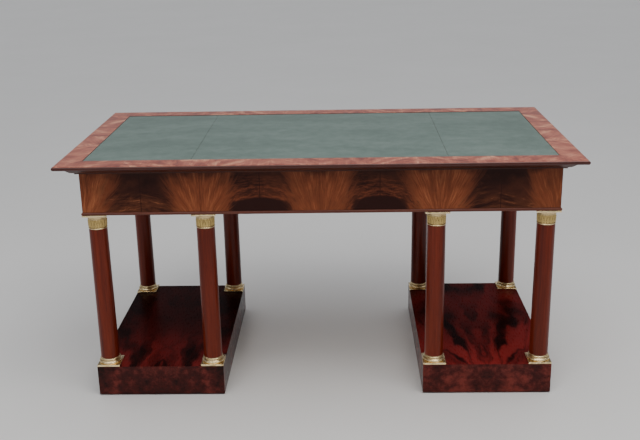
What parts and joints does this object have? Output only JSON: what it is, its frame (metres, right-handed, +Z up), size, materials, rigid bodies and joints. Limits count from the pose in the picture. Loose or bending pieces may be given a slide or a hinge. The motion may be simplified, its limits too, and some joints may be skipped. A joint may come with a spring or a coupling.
{
  "type": "pedestal writing desk with drawers",
  "caption": "Pedestal writing desk with a leather-lined top, plain veneered frieze with drawers behind, turned columns with gilt mounts and box plinths.",
  "frame": {"origin": "on the floor below the middle of the top", "axes": "+X along the desk to the right as the visitor sees it, +Y towards the sitter's side where the drawers open, +Z up"},
  "size_m": [1.562, 0.806, 0.775],
  "materials": {
    "mahogany": "french polished flame veneer",
    "border": "polished crossbanded veneer",
    "column_mahogany": "polished solid mahogany",
    "plinth_mahogany": "high gloss polished veneer",
    "leather": "aged matt hide",
    "gilt_bronze": "matt gilding with burnished highlights",
    "lock_brass": "satin",
    "steel": "filed",
    "oak": "planed and waxed",
    "pine": "planed, unfinished"
  },
  "bodies": {
    "desk": {"top_core": "pine", "top_border": "border", "leather_left": "leather", "leather_centre": "leather", "leather_right": "leather", "cornice": "mahogany", "frieze_front_board": "mahogany", "frieze_left_board": "mahogany", "frieze_right_board": "mahogany", "corner_post_left": "mahogany", "corner_post_right": "mahogany", "drawer_rail_upper": "mahogany", "rail_packing": "mahogany", "rail_lipping": "mahogany", "drawer_rail_lower": "mahogany", "partition_left": "oak", "partition_right": "oak", "base_frame": "mahogany", "cross_rails": "mahogany", "drawer_runners": "oak", "drawer_guides": "oak", "drawer_kickers": "oak", "drawer_stops": "oak", "corner_blocks": "pine", "top_screws": "steel", "column_front_left_outer": "column_mahogany", "column_front_left_inner": "column_mahogany", "column_front_right_outer": "column_mahogany", "column_front_right_inner": "column_mahogany", "column_back_left_outer": "column_mahogany", "column_back_left_inner": "column_mahogany", "column_back_right_outer": "column_mahogany", "column_back_right_inner": "column_mahogany", "capitals_left": "gilt_bronze", "capitals_right": "gilt_bronze", "bases_left": "gilt_bronze", "bases_right": "gilt_bronze", "plinth_left_boards": "plinth_mahogany", "plinth_left_top": "plinth_mahogany", "plinth_right_boards": "plinth_mahogany", "plinth_right_top": "plinth_mahogany", "plinth_glides": "plinth_mahogany"},
    "drawer_left": {"drawer_left_front": "mahogany", "drawer_left_box": "oak", "drawer_left_bottom": "pine", "drawer_left_lock": "lock_brass"},
    "bolt_left": {"drawer_left_bolt": "steel"},
    "key_left": {"drawer_left_key": "steel"},
    "drawer_centre": {"drawer_centre_front": "mahogany", "drawer_centre_box": "oak", "drawer_centre_bottom": "pine", "drawer_centre_lock": "lock_brass"},
    "bolt_centre": {"drawer_centre_bolt": "steel"},
    "key_centre": {"drawer_centre_key": "steel"},
    "drawer_right": {"drawer_right_front": "mahogany", "drawer_right_box": "oak", "drawer_right_bottom": "pine", "drawer_right_lock": "lock_brass"},
    "bolt_right": {"drawer_right_bolt": "steel"},
    "key_right": {"drawer_right_key": "steel"}
  },
  "joints": [
    {"name": "drawer_left_slide", "type": "slide", "parent": "desk", "child": "drawer_left", "axis": [0, 1, 0], "range_m": [0, 0.4]},
    {"name": "key_left_turn", "type": "hinge", "parent": "drawer_left", "child": "key_left", "pos_m": [-0.512, 0.341, 0.6952], "axis": [0, 1, 0], "range_deg": [0, 180]},
    {"name": "bolt_left_rise", "type": "slide", "parent": "drawer_left", "child": "bolt_left", "axis": [0, 0, 1], "range_m": [0, 0.007]},
    {"name": "drawer_centre_slide", "type": "slide", "parent": "desk", "child": "drawer_centre", "axis": [0, 1, 0], "range_m": [0, 0.4]},
    {"name": "key_centre_turn", "type": "hinge", "parent": "drawer_centre", "child": "key_centre", "pos_m": [0, 0.341, 0.6952], "axis": [0, 1, 0], "range_deg": [0, 180]},
    {"name": "bolt_centre_rise", "type": "slide", "parent": "drawer_centre", "child": "bolt_centre", "axis": [0, 0, 1], "range_m": [0, 0.007]},
    {"name": "drawer_right_slide", "type": "slide", "parent": "desk", "child": "drawer_right", "axis": [0, 1, 0], "range_m": [0, 0.4]},
    {"name": "key_right_turn", "type": "hinge", "parent": "drawer_right", "child": "key_right", "pos_m": [0.512, 0.341, 0.6952], "axis": [0, 1, 0], "range_deg": [0, 180]},
    {"name": "bolt_right_rise", "type": "slide", "parent": "drawer_right", "child": "bolt_right", "axis": [0, 0, 1], "range_m": [0, 0.007]}
  ],
  "couplings": [
    {"joint": "key_left_turn", "follows": "bolt_left_rise", "rad_per_m": 448.8},
    {"joint": "key_centre_turn", "follows": "bolt_centre_rise", "rad_per_m": 448.8},
    {"joint": "key_right_turn", "follows": "bolt_right_rise", "rad_per_m": 448.8}
  ]
}
